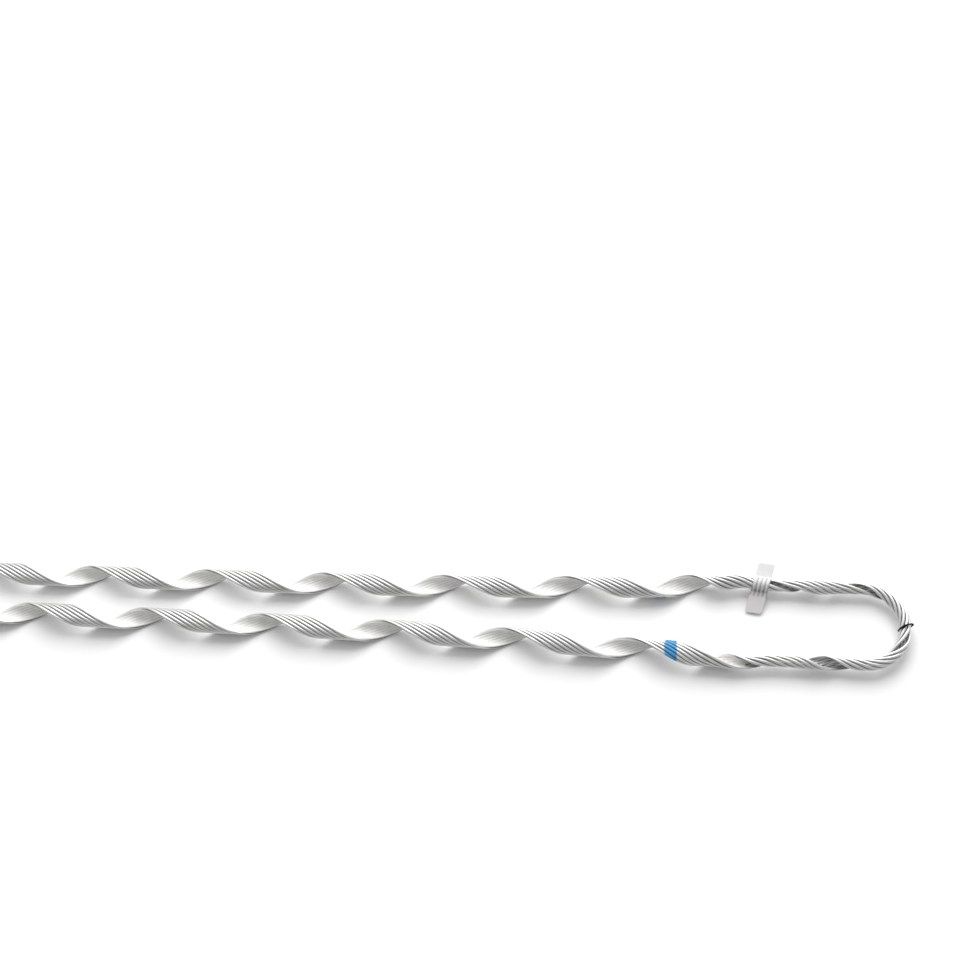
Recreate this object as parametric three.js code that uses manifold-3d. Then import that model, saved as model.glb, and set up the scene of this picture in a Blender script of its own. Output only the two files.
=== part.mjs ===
import * as THREE from 'three';
import { mergeVertices } from 'three/addons/utils/BufferGeometryUtils.js';
import Module from 'manifold-3d';

// Preformed dead end grip. Seven wires lie side by side as an open right-hand helix in both legs and close up
// into a cabled loop between them. The loop lies in the XY plane with its tip towards +X, the legs run towards
// -X, and the origin is the centre of the loop's round end. Lengths are millimetres, and distances along the
// grip are measured on its centre line from the tip of the loop.

const DEGREE = Math.PI / 180;

// Wire
const WIRE_COUNT = 7;
const WIRE_DIAMETER = 2.5;
const WIRE_SPACE = 0.15;
const WIRE_SIDES = 6;

// Legs: the bore is the hole inside the bare wires, and one lay is one full turn of the helix
const LEG_BORE = 13.7;
const LEG_LAY = 100;
const LEG_END = 800;

// Cabled loop: the slot is the part of the turn that the wires leave open, and the rope swells where it is
// slack, on each side of the loop. Where it opens into a leg the wires ease apart by a share of their pitch.
const ROPE_LAY = 67.2;
const ROPE_SLOT = 45 * DEGREE;
const ROPE_END = 130;
const OPENING_LENGTH = 60;
const OPENING_EASE = 0.15;
const SLACK_PLACE = 85;
const SLACK_REACH = 27;
const SLACK_SWELL = 1.3;

// Centre line: a half round end, straight sides that bow outwards where the rope opens, then a toe-in that
// slowly runs out along the legs
const LOOP_RADIUS = 31.9;
const BOW_PLACE = 146;
const BOW_REACH = 25;
const BOW_OUT = 3;
const TOE_START = 130;
const TOE_LENGTH = 36;
const TOE_ANGLE = 4.1 * DEGREE;
const TOE_RUN_OUT = 190;

// Turn of the middle wire about the centre line at the tip, from the inside of the loop upwards
const TIP_TURN = -6 * DEGREE;

// Gritted lining that bonds the wires of each leg on their inside
const LINING_START = 142;
const LINING_THICKNESS = 0.5;
const LINING_SPACE = 0.3;
const LINING_FACETS = 3;
const LINING_END_MARGIN = 12;

// Flag label folded round the far side of the loop
const LABEL_PLACE = 128.5;
const LABEL_WIDTH = 14;
const LABEL_SHEET = 0.35;
const LABEL_SPACE = 0.3;
const LABEL_OUTER_TAIL = 13;
const LABEL_OUTER_RISE = 6 * DEGREE;
const LABEL_INNER_TAIL = 21;
const LABEL_INNER_DROOP = 18 * DEGREE;
const LABEL_SKEW = 16 * DEGREE;
const LABEL_CORNER = 2;

// Tie at the tip of the loop
const TIE_THICKNESS = 1.1;
const TIE_SPACE = 0.3;
const TIE_LEAN = 30 * DEGREE;
const TIE_KNOT = 2.2;
const TIE_TAIL = 2.5;
const TIE_TAIL_RISE = 35 * DEGREE;

// How finely curves are stepped
const TURN_PER_STEP = 41 * DEGREE;
const TABLE_STEP = 0.5;

const wirePitch = WIRE_DIAMETER + WIRE_SPACE;
const legRing = (LEG_BORE + WIRE_DIAMETER) / 2;
const ropeRing = ringForSlot(ROPE_SLOT, ROPE_LAY);
const legStart = ROPE_END + OPENING_LENGTH;

const colours = {
  wire: { color: 0xb7b9ba, roughness: 0.34, metalness: 0.9 },
  lining: { color: 0xc4c2bd, roughness: 0.95, metalness: 0 },
  label: { color: 0xf1f1ef, roughness: 0.55, metalness: 0 },
  tie: { color: 0x161616, roughness: 0.6, metalness: 0 },
};

// Ring radius at which the wires leave just the given slot open
function ringForSlot(slot, lay) {
  const apart = (2 * Math.PI - slot) / WIRE_COUNT;
  const flatRing = wirePitch / (2 * Math.sin(apart / 2));
  return flatRing / Math.sqrt(1 - (2 * Math.PI * flatRing / lay) ** 2);
}

function ease(from, to, value) {
  const share = THREE.MathUtils.clamp((value - from) / (to - from), 0, 1);
  return share * share * (3 - 2 * share);
}

// Goes from 1 at a place to 0 at its reach on either side
function bump(place, reach, value) {
  return 1 - ease(0, reach, Math.abs(value - place));
}

// Direction of the centre line, turned from +Y, at a distance from the tip
function headingAt(distance) {
  const bend = Math.min(distance / LOOP_RADIUS, Math.PI / 2);
  const toeEnd = TOE_START + TOE_LENGTH;
  const runOut = Math.exp(-Math.max(0, distance - toeEnd) / TOE_RUN_OUT);
  return bend + TOE_ANGLE * ease(TOE_START, toeEnd, distance) * runOut;
}

// Share of the way from the closed rope to the open leg
function openingAt(distance) {
  return ease(ROPE_END, legStart, distance);
}

// Radius of the ring on which the middles of the wires lie
function ringAt(distance) {
  const swell = SLACK_SWELL * bump(SLACK_PLACE, SLACK_REACH, distance);
  return THREE.MathUtils.lerp(ropeRing, legRing, openingAt(distance)) + swell;
}

function twistRateAt(distance) {
  return 2 * Math.PI * THREE.MathUtils.lerp(1 / ROPE_LAY, 1 / LEG_LAY, openingAt(distance));
}

// Angle between neighbouring wires about the centre line, so that they lie side by side at every radius
function wireAngleAt(distance) {
  const ring = ringAt(distance);
  const layAngle = Math.atan(ring * twistRateAt(distance));
  const opening = openingAt(distance);
  const pitch = wirePitch * (1 + OPENING_EASE * 4 * opening * (1 - opening));
  return 2 * Math.asin(pitch / (2 * ring * Math.cos(layAngle)));
}

// Half of the hairpin, summed up in small steps from the tip
function layOutHalf() {
  const rows = [{ x: LOOP_RADIUS, y: 0, twist: 0 }];
  const count = Math.ceil(LEG_END / TABLE_STEP);
  for (let i = 0; i < count; i += 1) {
    const middle = (i + 0.5) * TABLE_STEP;
    const heading = headingAt(middle);
    const last = rows[i];
    rows.push({
      x: last.x - Math.sin(heading) * TABLE_STEP,
      y: last.y + Math.cos(heading) * TABLE_STEP,
      twist: last.twist + twistRateAt(middle) * TABLE_STEP,
    });
  }
  return rows;
}

const half = layOutHalf();

function halfRow(distance) {
  const place = Math.min(distance / TABLE_STEP, half.length - 1.000001);
  const low = half[Math.floor(place)];
  const high = half[Math.floor(place) + 1];
  const share = place - Math.floor(place);
  return {
    x: THREE.MathUtils.lerp(low.x, high.x, share),
    y: THREE.MathUtils.lerp(low.y, high.y, share),
    twist: THREE.MathUtils.lerp(low.twist, high.twist, share),
  };
}

// Centre line at s, negative on the near leg and positive on the far one: its point, the direction to the
// inside of the loop, and the turn of the middle wire
function centreAt(s) {
  const side = Math.sign(s);
  const row = halfRow(Math.abs(s));
  const heading = side * headingAt(Math.abs(s));
  const inward = new THREE.Vector3(-Math.cos(heading), -Math.sin(heading), 0);
  const bow = BOW_OUT * bump(BOW_PLACE, BOW_REACH, Math.abs(s));
  return {
    point: new THREE.Vector3(row.x, side * row.y, 0).addScaledVector(inward, -bow),
    inward,
    turn: TIP_TURN + side * row.twist,
  };
}

const up = new THREE.Vector3(0, 0, 1);

function outwardAt(s, turnFromMiddle) {
  const centre = centreAt(s);
  const angle = centre.turn + turnFromMiddle;
  return centre.inward.multiplyScalar(Math.cos(angle)).addScaledVector(up, Math.sin(angle));
}

// Distance from the tip at which the twist has reached a value
function distanceAtTwist(twist) {
  const index = half.findIndex((row) => row.twist > twist);
  if (index < 1) return index === 0 ? 0 : LEG_END;
  const low = half[index - 1].twist;
  return (index - 1 + (twist - low) / (half[index].twist - low)) * TABLE_STEP;
}

// Stations from the near leg's end to the far one's, an equal part of a turn apart
function stationsAlong() {
  const total = half[half.length - 1].twist;
  const count = Math.ceil(total / TURN_PER_STEP);
  const stations = [];
  for (let i = -count; i <= count; i += 1) {
    stations.push(Math.sign(i) * distanceAtTwist(Math.abs(i) * total / count));
  }
  stations[0] = -LEG_END;
  stations[2 * count] = LEG_END;
  return stations;
}

const stations = stationsAlong();

// A path through fixed stations, whose section keeps facing away from the centre line
class StationPath extends THREE.Curve {
  constructor(places, pointAt, facingAt) {
    super();
    this.points = places.map(pointAt);
    this.facings = places.map(facingAt);
  }

  getPoint(share, target = new THREE.Vector3()) {
    const place = share * (this.points.length - 1);
    const index = Math.min(Math.floor(place), this.points.length - 2);
    return target.lerpVectors(this.points[index], this.points[index + 1], place - index);
  }

  getSpacedPoints() {
    return this.points;
  }

  computeFrenetFrames() {
    const last = this.points.length - 1;
    const tangents = this.points.map((point, i) => {
      const before = this.points[Math.max(i - 1, 0)];
      const after = this.points[Math.min(i + 1, last)];
      return after.clone().sub(before).normalize();
    });
    const normals = this.facings.map((facing, i) => {
      const along = facing.dot(tangents[i]);
      return facing.clone().addScaledVector(tangents[i], -along).normalize();
    });
    const binormals = normals.map((normal, i) => tangents[i].clone().cross(normal));
    return { tangents, normals, binormals };
  }
}

function sweep(shape, path) {
  const steps = path.points.length - 1;
  return new THREE.ExtrudeGeometry(shape, { steps, extrudePath: path, bevelEnabled: false });
}

function polygonShape(radius, sides) {
  const corners = [];
  for (let i = 0; i < sides; i += 1) {
    const angle = 2 * Math.PI * i / sides;
    corners.push(new THREE.Vector2(radius * Math.cos(angle), radius * Math.sin(angle)));
  }
  return new THREE.Shape(corners);
}

function namedMesh(name, geometry, look) {
  const mesh = new THREE.Mesh(geometry, new THREE.MeshStandardMaterial(look));
  mesh.name = name;
  return mesh;
}

// One continuous wire, from the end of the near leg through the loop to the end of the far leg
function makeWire(number) {
  const offset = number - (WIRE_COUNT + 1) / 2;
  const facingAt = (s) => outwardAt(s, offset * wireAngleAt(Math.abs(s)));
  const pointAt = (s) => centreAt(s).point.addScaledVector(facingAt(s), ringAt(Math.abs(s)));
  const path = new StationPath(stations, pointAt, facingAt);
  return sweep(polygonShape(WIRE_DIAMETER / 2, WIRE_SIDES), path);
}

// Corners of the lining's section at a station: a band across the inside of the wires, as wide as they are
// together. Between two stations a wire runs straight, so it comes nearer to the centre line there.
function liningSection(s) {
  const distance = Math.abs(s);
  const wireInside = ringAt(distance) * Math.cos(TURN_PER_STEP / 2) - WIRE_DIAMETER / 2;
  const outer = wireInside - LINING_SPACE;
  const reach = (WIRE_COUNT - 1) / 2 * wireAngleAt(distance) + WIRE_DIAMETER / 3 / outer;
  const centre = centreAt(s).point;
  const corners = [];
  for (let i = 0; i <= LINING_FACETS; i += 1) {
    const facing = outwardAt(s, THREE.MathUtils.lerp(-reach, reach, i / LINING_FACETS));
    corners.push(centre.clone().addScaledVector(facing, outer));
    corners.push(centre.clone().addScaledVector(facing, outer - LINING_THICKNESS));
  }
  return corners;
}

// Solid strip through sections whose corners come in pairs, an outer and an inner one
function stripThrough(sections) {
  const width = sections[0].length;
  const indices = [];
  const addQuad = (a, b, c, d) => indices.push(a, c, b, a, d, c);
  for (let i = 0; i + 1 < sections.length; i += 1) {
    const low = i * width;
    const high = low + width;
    for (let j = 0; j + 2 < width; j += 2) {
      addQuad(low + j, high + j, high + j + 2, low + j + 2);
      addQuad(low + j + 1, low + j + 3, high + j + 3, high + j + 1);
    }
    addQuad(low, low + 1, high + 1, high);
    addQuad(low + width - 2, high + width - 2, high + width - 1, low + width - 1);
  }
  const end = (sections.length - 1) * width;
  for (let j = 0; j + 2 < width; j += 2) {
    addQuad(j, j + 2, j + 3, j + 1);
    addQuad(end + j, end + j + 1, end + j + 3, end + j + 2);
  }
  const geometry = new THREE.BufferGeometry().setFromPoints(sections.flat());
  geometry.setIndex(indices);
  return geometry.toNonIndexed();
}

function makeLining(side) {
  const end = LEG_END - LINING_END_MARGIN;
  const between = stations.filter((s) => s > LINING_START && s < end);
  const places = [LINING_START, ...between, end].map((s) => side * s);
  if (side < 0) places.reverse();
  const geometry = stripThrough(places.map(liningSection));
  geometry.computeVertexNormals();
  return geometry;
}

// Label in section: a sheet round the rope whose two faces meet in an outer and an inner tail
function labelShape(ropeRadius) {
  const inner = ropeRadius + LABEL_SPACE;
  const outer = inner + LABEL_SHEET;
  const rootAngle = Math.asin(LABEL_SHEET / outer);
  const tails = [
    { angle: LABEL_OUTER_RISE, length: LABEL_OUTER_TAIL },
    { angle: Math.PI + LABEL_INNER_DROOP, length: LABEL_INNER_TAIL },
  ];
  const shape = new THREE.Shape();
  const onTail = (tail, along, across) => {
    return new THREE.Vector2(along, across).rotateAround(new THREE.Vector2(), tail.angle);
  };
  const root = outer * Math.cos(rootAngle);
  tails.forEach((tail, i) => {
    const tip = outer + tail.length;
    const low = [onTail(tail, root, -LABEL_SHEET), onTail(tail, tip, -LABEL_SHEET)];
    const high = [onTail(tail, tip, LABEL_SHEET), onTail(tail, root, LABEL_SHEET)];
    if (i === 0) shape.moveTo(low[0].x, low[0].y);
    [low[1], ...high].forEach((corner) => shape.lineTo(corner.x, corner.y));
    const next = i === 0 ? tails[1].angle : tails[0].angle + 2 * Math.PI;
    shape.absarc(0, 0, outer, tail.angle + rootAngle, next - rootAngle, false);
  });
  const hole = new THREE.Path();
  hole.absarc(0, 0, inner, 0, 2 * Math.PI, true);
  shape.holes.push(hole);
  return shape;
}

const wasm = await Module();
wasm.setup();

function toSolid(geometry) {
  const bare = geometry.clone();
  bare.deleteAttribute('normal');
  bare.deleteAttribute('uv');
  const merged = mergeVertices(bare);
  return new wasm.Manifold(new wasm.Mesh({
    numProp: 3,
    vertProperties: new Float32Array(merged.attributes.position.array),
    triVerts: new Uint32Array(merged.index.array),
  }));
}

function toGeometry(solid) {
  const mesh = solid.getMesh();
  const geometry = new THREE.BufferGeometry();
  geometry.setAttribute('position', new THREE.BufferAttribute(mesh.vertProperties, 3));
  geometry.setIndex(new THREE.BufferAttribute(mesh.triVerts, 1));
  geometry.computeVertexNormals();
  return geometry;
}

// Label from above: its two tails end in rounded corners
function labelOutline(ropeRadius) {
  const outer = ropeRadius + LABEL_SPACE + LABEL_SHEET;
  const low = -(outer + LABEL_INNER_TAIL) * Math.cos(LABEL_INNER_DROOP);
  const high = (outer + LABEL_OUTER_TAIL) * Math.cos(LABEL_OUTER_RISE);
  const side = LABEL_WIDTH / 2;
  const outline = new THREE.Shape();
  const corners = [[high, side], [low, side], [low, -side], [high, -side]];
  corners.forEach(([x, y], i) => {
    const start = i * Math.PI / 2;
    const centreX = x - Math.sign(x) * LABEL_CORNER;
    const centreY = y - Math.sign(y) * LABEL_CORNER;
    outline.absarc(centreX, centreY, LABEL_CORNER, start, start + Math.PI / 2, false);
  });
  return outline;
}

// Lays flat-made label geometry, with X outwards, Y up and Z towards the tip, along the rope's own bend. The
// label is a little askew, so that its outer tail lies nearer to the tip than its inner one.
function laidOnRope(geometry) {
  const outward = centreAt(LABEL_PLACE).inward.negate();
  const along = outward.clone().cross(up);
  const positions = geometry.attributes.position;
  for (let i = 0; i < positions.count; i += 1) {
    const across = positions.getX(i);
    const point = centreAt(LABEL_PLACE - positions.getZ(i)).point;
    point.addScaledVector(outward, across).addScaledVector(up, positions.getY(i));
    point.addScaledVector(along, across * Math.tan(LABEL_SKEW));
    positions.setXYZ(i, point.x, point.y, point.z);
  }
  return geometry;
}

function makeLabel() {
  const ropeRadius = ringAt(LABEL_PLACE + LABEL_WIDTH / 2) + WIRE_DIAMETER / 2;
  const sheet = new THREE.ExtrudeGeometry(labelShape(ropeRadius), {
    depth: LABEL_WIDTH,
    steps: 3,
    curveSegments: 7,
    bevelEnabled: false,
  });
  sheet.translate(0, 0, -LABEL_WIDTH / 2);
  const plate = new THREE.ExtrudeGeometry(labelOutline(ropeRadius), {
    depth: 2 * LABEL_INNER_TAIL,
    curveSegments: 3,
    bevelEnabled: false,
  });
  plate.translate(0, 0, -LABEL_INNER_TAIL);
  plate.rotateX(Math.PI / 2);
  const [sheetSolid, plateSolid] = [sheet, plate].map(laidOnRope).map(toSolid);
  return toGeometry(sheetSolid.intersect(plateSolid));
}

// Tie: a leaning ring round the rope at the tip, with its knot and cut end outside
function makeTie() {
  const ring = ringAt(0) + WIRE_DIAMETER / 2 + TIE_SPACE + TIE_THICKNESS / 2;
  const band = new THREE.TorusGeometry(ring, TIE_THICKNESS / 2, 6, 20).rotateX(Math.PI / 2);
  const knotPlace = ring + TIE_THICKNESS / 2;
  const knot = new THREE.SphereGeometry(TIE_KNOT / 2, 8, 6).translate(knotPlace, 0, 0);
  const tail = new THREE.CylinderGeometry(TIE_THICKNESS / 3, TIE_THICKNESS / 2, TIE_TAIL, 6);
  tail.translate(0, TIE_TAIL / 2, 0);
  tail.rotateZ(-TIE_TAIL_RISE);
  tail.translate(knotPlace, 0, 0);
  const solid = [band, knot, tail].map(toSolid).reduce((whole, piece) => whole.add(piece));
  const geometry = toGeometry(solid);
  geometry.applyMatrix4(new THREE.Matrix4().makeShear(Math.tan(TIE_LEAN), 0, 0, 0, 0, 0));
  return geometry.translate(LOOP_RADIUS, 0, 0);
}

const group = new THREE.Group();
for (let number = 1; number <= WIRE_COUNT; number += 1) {
  group.add(namedMesh(`wire_${number}`, makeWire(number), colours.wire));
}
group.add(namedMesh('near_leg_lining', makeLining(-1), colours.lining));
group.add(namedMesh('far_leg_lining', makeLining(1), colours.lining));
group.add(namedMesh('flag_label', makeLabel(), colours.label));
group.add(namedMesh('loop_tie', makeTie(), colours.tie));

export default group;
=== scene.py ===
"""Preformed dead end grip: seven formed wires, gritted linings, a flag label and a tie at the tip."""

import math

import bpy
import numpy as np
from mathutils import Matrix, Vector


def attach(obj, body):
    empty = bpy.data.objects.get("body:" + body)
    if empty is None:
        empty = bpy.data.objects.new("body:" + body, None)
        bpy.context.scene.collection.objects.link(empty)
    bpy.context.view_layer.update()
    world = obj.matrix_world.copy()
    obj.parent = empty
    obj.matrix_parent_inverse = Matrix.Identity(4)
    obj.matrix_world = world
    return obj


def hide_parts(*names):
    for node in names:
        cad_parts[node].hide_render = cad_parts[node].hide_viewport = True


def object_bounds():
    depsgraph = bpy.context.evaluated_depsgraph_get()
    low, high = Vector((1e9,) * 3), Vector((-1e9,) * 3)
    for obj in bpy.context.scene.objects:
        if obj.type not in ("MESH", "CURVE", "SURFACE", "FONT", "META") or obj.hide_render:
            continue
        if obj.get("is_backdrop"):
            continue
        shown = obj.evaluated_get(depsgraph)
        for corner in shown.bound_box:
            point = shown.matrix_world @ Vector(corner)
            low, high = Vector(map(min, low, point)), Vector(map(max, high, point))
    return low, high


bl_info = {
    "name": "Preformed dead end grip",
    "version": (1, 0, 0),
    "blender": (4, 5, 0),
    "location": "3D View > Sidebar > Grip",
    "description": "Builds the wires, linings, label and tie of a wire grip round its packed frame",
    "category": "Object",
}

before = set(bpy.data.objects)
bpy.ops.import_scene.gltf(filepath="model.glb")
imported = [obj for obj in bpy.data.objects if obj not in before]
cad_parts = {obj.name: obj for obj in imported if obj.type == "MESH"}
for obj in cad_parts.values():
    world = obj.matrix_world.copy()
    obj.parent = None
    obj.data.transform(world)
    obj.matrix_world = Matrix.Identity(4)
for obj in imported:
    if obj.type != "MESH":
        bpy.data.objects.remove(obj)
CAD_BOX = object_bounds()

BODY = "root"
WIRES = 7
MM = 0.001
SHARP_CORNER = math.radians(40)


# Settings


def size_property(name, description, default):
    """A length in metres, shown finely enough for a film."""
    return bpy.props.FloatProperty(
        name=name, description=description, default=default, unit="LENGTH", precision=5
    )


def angle_property(name, description, degrees):
    return bpy.props.FloatProperty(
        name=name, description=description, default=math.radians(degrees), subtype="ANGLE"
    )


def colour_property(name, description, default):
    return bpy.props.FloatVectorProperty(
        name=name, description=description, default=default, subtype="COLOR"
    )


class GripWireSettings(bpy.types.PropertyGroup):
    """Section, lay and spacing of the formed wires"""

    diameter: size_property("Wire diameter", "Diameter of one wire", 2.5 * MM)
    space: size_property("Wire space", "Gap between neighbouring wires", 0.15 * MM)
    leg_bore: size_property("Leg bore", "Hole inside the bare wires of a leg", 13.7 * MM)
    leg_lay: size_property("Leg lay", "Length of one full turn in a leg", 100 * MM)
    rope_lay: size_property("Rope lay", "Length of one full turn in the loop", 67.2 * MM)
    rope_slot: angle_property("Rope slot", "Part of the turn that the wires leave open in the loop", 45)
    opening_ease: bpy.props.FloatProperty(
        name="Opening ease",
        description="Share of their pitch that the wires part by where the rope opens",
        default=0.06,
    )
    tip_turn: angle_property("Tip turn", "Turn of the middle wire at the tip", -6)
    sides: bpy.props.IntProperty(
        name="Sides", description="Sides of a wire's round section", default=16, min=8
    )
    step: size_property("Step", "Distance between sections along a wire", 2 * MM)


class GripRunSettings(bpy.types.PropertyGroup):
    """The centre line of the hairpin, measured from the tip of the loop"""

    loop_radius: size_property("Loop radius", "Radius of the round end", 31.9 * MM)
    rope_end: size_property("Rope end", "Where the rope begins to open", 130 * MM)
    opening_length: size_property("Opening length", "Length over which it opens", 60 * MM)
    slack_place: size_property("Slack place", "Where the rope is slackest", 85 * MM)
    slack_reach: size_property("Slack reach", "How far the slack reaches each way", 27 * MM)
    slack_swell: size_property("Slack swell", "Growth of the rope's ring there", 1.3 * MM)
    bow_place: size_property("Bow place", "Where the sides bow out most", 146 * MM)
    bow_reach: size_property("Bow reach", "How far the bow reaches each way", 25 * MM)
    bow_out: size_property("Bow out", "How far the sides bow out", 2.8 * MM)
    leg_end: size_property("Leg end", "Where the legs are cut off", 799.9 * MM)
    toe_start: size_property("Toe-in start", "Where the sides turn inwards", 130 * MM)
    toe_length: size_property("Toe-in length", "Length of that turn", 36 * MM)
    toe_angle: angle_property("Toe-in angle", "How far the sides turn", 4.1)
    toe_run_out: size_property("Toe-in run-out", "Length over which it fades", 190 * MM)


class GripLiningSettings(bpy.types.PropertyGroup):
    """The gritted lining on the inside of each leg"""

    cover: size_property("Cover", "Lining over the innermost line of a wire", 0.35 * MM)
    dip: size_property("Dip", "How far it sinks between two wires", 0.3 * MM)
    depth: size_property("Depth", "How far it reaches in between the wires", 0.5 * MM)
    reach: bpy.props.FloatProperty(
        name="Reach", description="Edge of the lining, in wire pitches from the middle wire", default=3.36
    )
    start: size_property("Start", "Where the lining begins", 142 * MM)
    end_margin: size_property("End margin", "Bare wire left at a leg's end", 12 * MM)


class GripFinishSettings(bpy.types.PropertyGroup):
    """Colours, and the crossover marks painted on the legs"""

    zinc: colour_property("Zinc", "Colour of the galvanised wire", (0.78, 0.78, 0.77))
    grit: colour_property("Grit", "Colour of the lining", (0.78, 0.775, 0.76))
    paint: colour_property("Paint", "Colour of the crossover marks", (0.06, 0.29, 0.56))
    film: colour_property("Film", "Colour of the label", (0.66, 0.66, 0.655))
    clear_film: colour_property("Clear film", "Colour of the label inside the loop", (0.72, 0.7, 0.7))
    cord: colour_property("Cord", "Colour of the tie", (0.006, 0.006, 0.007))
    near_mark: size_property("Near mark", "Middle of the near leg's mark on X", -150.4 * MM)
    far_mark: size_property("Far mark", "Middle of the far leg's mark on X", -159 * MM)
    far_mark_top: size_property("Far mark top", "Upper edge of the far leg's mark", -1 * MM)
    far_mark_back: size_property("Far mark back", "Outer edge of the far leg's mark on Y", 29 * MM)
    mark_width: size_property("Mark width", "Width of a mark", 10 * MM)


class GripLabelSettings(bpy.types.PropertyGroup):
    """The flag label folded round the far side of the loop"""

    place: size_property("Place", "Distance from the tip", 128.5 * MM)
    width: size_property("Width", "Width along the rope", 13.2 * MM)
    sheet: size_property("Sheet", "Thickness of the film", 0.22 * MM)
    space: size_property("Space", "Gap between film and wires", 0.2 * MM)
    outer_tail: size_property("Outer tail", "Length of the tail outside the loop", 12 * MM)
    outer_rise: angle_property("Outer rise", "Slope of the outer tail", 6)
    inner_tail: size_property("Inner tail", "Length of the tail inside the loop", 17.8 * MM)
    inner_droop: angle_property("Inner droop", "Slope of the inner tail", 18)
    skew: angle_property("Skew", "How far the label is askew", 16)
    corner: size_property("Corner", "Radius of the tails' corners", 2 * MM)
    pleats: bpy.props.IntProperty(
        name="Pleats", description="Ridges of the film over the rope", default=4, min=1
    )
    pleat_depth: size_property("Pleat depth", "Depth of the film's pleats", 0.55 * MM)


class GripTieSettings(bpy.types.PropertyGroup):
    """The tie round the rope at the tip of the loop"""

    cord: size_property("Cord", "Thickness of the tie's cord", 1.3 * MM)
    space: size_property("Space", "Gap between tie and wires", 0.02 * MM)
    lean: angle_property("Lean", "How far the tie leans along the rope", 24)
    tail: size_property("Tail", "Length of the cut end", 0.3 * MM)


class GripStageSettings(bpy.types.PropertyGroup):
    """Floor, lights and camera"""

    floor_size: bpy.props.FloatProperty(
        name="Floor size", description="Side of the floor", default=8.0, unit="LENGTH"
    )
    key_power: bpy.props.FloatProperty(
        name="Key power", description="Power of the key light", default=54.0
    )
    fill: bpy.props.FloatProperty(
        name="Fill", description="Strength of the light from all round", default=1.0
    )
    camera_target: bpy.props.FloatVectorProperty(
        name="Camera target",
        description="Point that the camera looks at",
        default=(-0.3122518, 0.119759, 0.0),
        subtype="TRANSLATION",
    )
    camera_distance: bpy.props.FloatProperty(
        name="Camera distance",
        description="Distance from camera to target",
        default=1.1432809,
        unit="LENGTH",
    )
    camera_elevation: angle_property("Camera elevation", "Height of the view", 61.7124)
    camera_azimuth: angle_property("Camera azimuth", "Direction of the view", 13.3922)
    camera_roll: angle_property("Camera roll", "Turn of the picture", -10.2326)
    camera_lens: bpy.props.FloatProperty(
        name="Camera lens", description="Focal length in millimetres on a 36 mm sensor", default=50.3442
    )


# The shape of the grip


def ease(low, high, value):
    """Goes smoothly from 0 at low to 1 at high."""
    share = np.clip((value - low) / (high - low), 0, 1)
    return share * share * (3 - 2 * share)


def bump(place, reach, value):
    """Goes from 1 at a place to 0 at its reach on either side."""
    return 1 - ease(0, reach, np.abs(value - place))


class Run:
    """Centre line and lay of the grip at a distance s from the tip, negative on the near leg."""

    TABLE_STEP = 0.25 * MM

    def __init__(self, run, wire):
        self.wire = wire
        self.tip_turn = wire.tip_turn
        pitch = wire.diameter + wire.space
        far = np.arange(0, run.leg_end + self.TABLE_STEP, self.TABLE_STEP)
        toe_end = run.toe_start + run.toe_length
        toe = run.toe_angle * ease(run.toe_start, toe_end, far)
        toe = toe * np.exp(-np.clip(far - toe_end, 0, None) / run.toe_run_out)
        heading = np.minimum(far / run.loop_radius, math.pi / 2) + toe
        opening = ease(run.rope_end, run.rope_end + run.opening_length, far)
        apart = (2 * math.pi - wire.rope_slot) / WIRES
        flat_ring = pitch / (2 * math.sin(apart / 2))
        self.rope_ring = flat_ring / math.sqrt(1 - (2 * math.pi * flat_ring / wire.rope_lay) ** 2)
        self.leg_ring = (wire.leg_bore + wire.diameter) / 2
        swell = run.slack_swell * bump(run.slack_place, run.slack_reach, far)
        ring = self.rope_ring + (self.leg_ring - self.rope_ring) * opening + swell
        rate = 2 * math.pi * (1 / wire.rope_lay + (1 / wire.leg_lay - 1 / wire.rope_lay) * opening)
        spread = pitch * (1 + wire.opening_ease * 4 * opening * (1 - opening))
        self.far = far
        self.columns = {
            "x": run.loop_radius - self.summed(np.sin(heading)),
            "y": self.summed(np.cos(heading)),
            "heading": heading,
            "bow": run.bow_out * bump(run.bow_place, run.bow_reach, far),
            "twist": self.summed(rate),
            "ring": ring,
            "wire_angle": 2 * np.arcsin(spread / (2 * ring * np.cos(np.arctan(ring * rate)))),
        }

    def summed(self, rate):
        """Running sum of a rate along the table."""
        middle = (rate[1:] + rate[:-1]) / 2 * self.TABLE_STEP
        return np.concatenate([[0], np.cumsum(middle)])

    def column(self, name, s):
        return np.interp(np.abs(s), self.far, self.columns[name])

    def at(self, s):
        """Centres, inward directions, turns of the middle wire, rings and wire angles at distances s."""
        s = np.asarray(s, float)
        side = np.sign(s)
        heading = side * self.column("heading", s)
        flat = np.zeros_like(s)
        inward = np.stack([-np.cos(heading), -np.sin(heading), flat], 1)
        straight = np.stack([self.column("x", s), side * self.column("y", s), flat], 1)
        return {
            "centre": straight - inward * self.column("bow", s)[:, None],
            "inward": inward,
            "turn": self.tip_turn + side * self.column("twist", s),
            "ring": self.column("ring", s),
            "wire_angle": self.column("wire_angle", s),
        }


def make_run(scene):
    return Run(scene.grip_run, scene.grip_wire)


# Node trees


def node(tree, kind, inputs=None, **settings):
    """Adds a node. An input given as a socket is linked, and anything else is its value."""
    made = tree.nodes.new(kind)
    for name, value in settings.items():
        setattr(made, name, value)
    for key, value in (inputs or {}).items():
        if isinstance(value, bpy.types.NodeSocket):
            tree.links.new(value, made.inputs[key])
        else:
            made.inputs[key].default_value = value
    return made


def calc(tree, operation, *values, clamp=False):
    """Arithmetic on numbers or sockets."""
    made = node(tree, "ShaderNodeMath", dict(enumerate(values)), operation=operation, use_clamp=clamp)
    return made.outputs[0]


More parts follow.
